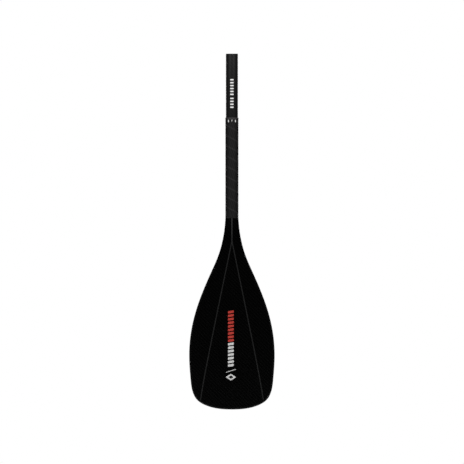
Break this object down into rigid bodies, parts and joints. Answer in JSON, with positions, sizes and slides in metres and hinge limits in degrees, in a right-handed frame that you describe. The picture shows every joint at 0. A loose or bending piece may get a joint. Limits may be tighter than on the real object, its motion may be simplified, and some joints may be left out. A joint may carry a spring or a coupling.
{
  "type": "paddle blade section",
  "caption": "Lower section of a take-apart stand-up paddle: joint ferrule, spiral-wrapped carbon shaft and raked teardrop blade.",
  "frame": {"origin": "centre of the shoulder plane, where the ferrule leaves the shaft", "axes": "+Z along the shaft towards the mating section; the power face looks along -Y and the tip rakes towards +Y; +X across the blade"},
  "size_m": [0.1872, 0.0803, 0.7795],
  "materials": {
    "ferrule_carbon": "satin carbon tube, ground smooth",
    "plug_plastic": "moulded black plastic",
    "ring_plastic": "moulded dark grey plastic",
    "shaft_carbon": "carbon and epoxy tube",
    "wrap_carbon": "spiral-wound carbon tape under satin lacquer",
    "foam": "closed-cell PVC foam",
    "neck_filler": "epoxy and microballoon filler",
    "stringer": "glass and carbon web",
    "blade_carbon": "woven carbon under satin black lacquer",
    "rail_plastic": "black ABS edge strip",
    "white_print": "white screen print",
    "red_print": "red screen print"
  },
  "bodies": {
    "root": {"ferrule_tube": "ferrule_carbon", "ferrule_marks": "white_print", "ferrule_end_plug": "plug_plastic", "shoulder_ring": "ring_plastic", "shaft_tube": "shaft_carbon", "shaft_wrap": "wrap_carbon", "index_marks": "white_print", "shaft_foam_plug": "foam", "neck_spigot": "shaft_carbon", "spigot_plug": "foam", "core_neck": "neck_filler", "core_centre": "foam", "core_left": "foam", "core_right": "foam", "stringer_left": "stringer", "stringer_right": "stringer", "blade_face_skin": "blade_carbon", "blade_back_skin": "blade_carbon", "blade_rail": "rail_plastic", "blade_mark_red": "red_print", "blade_mark_white": "white_print"}
  },
  "joints": []
}
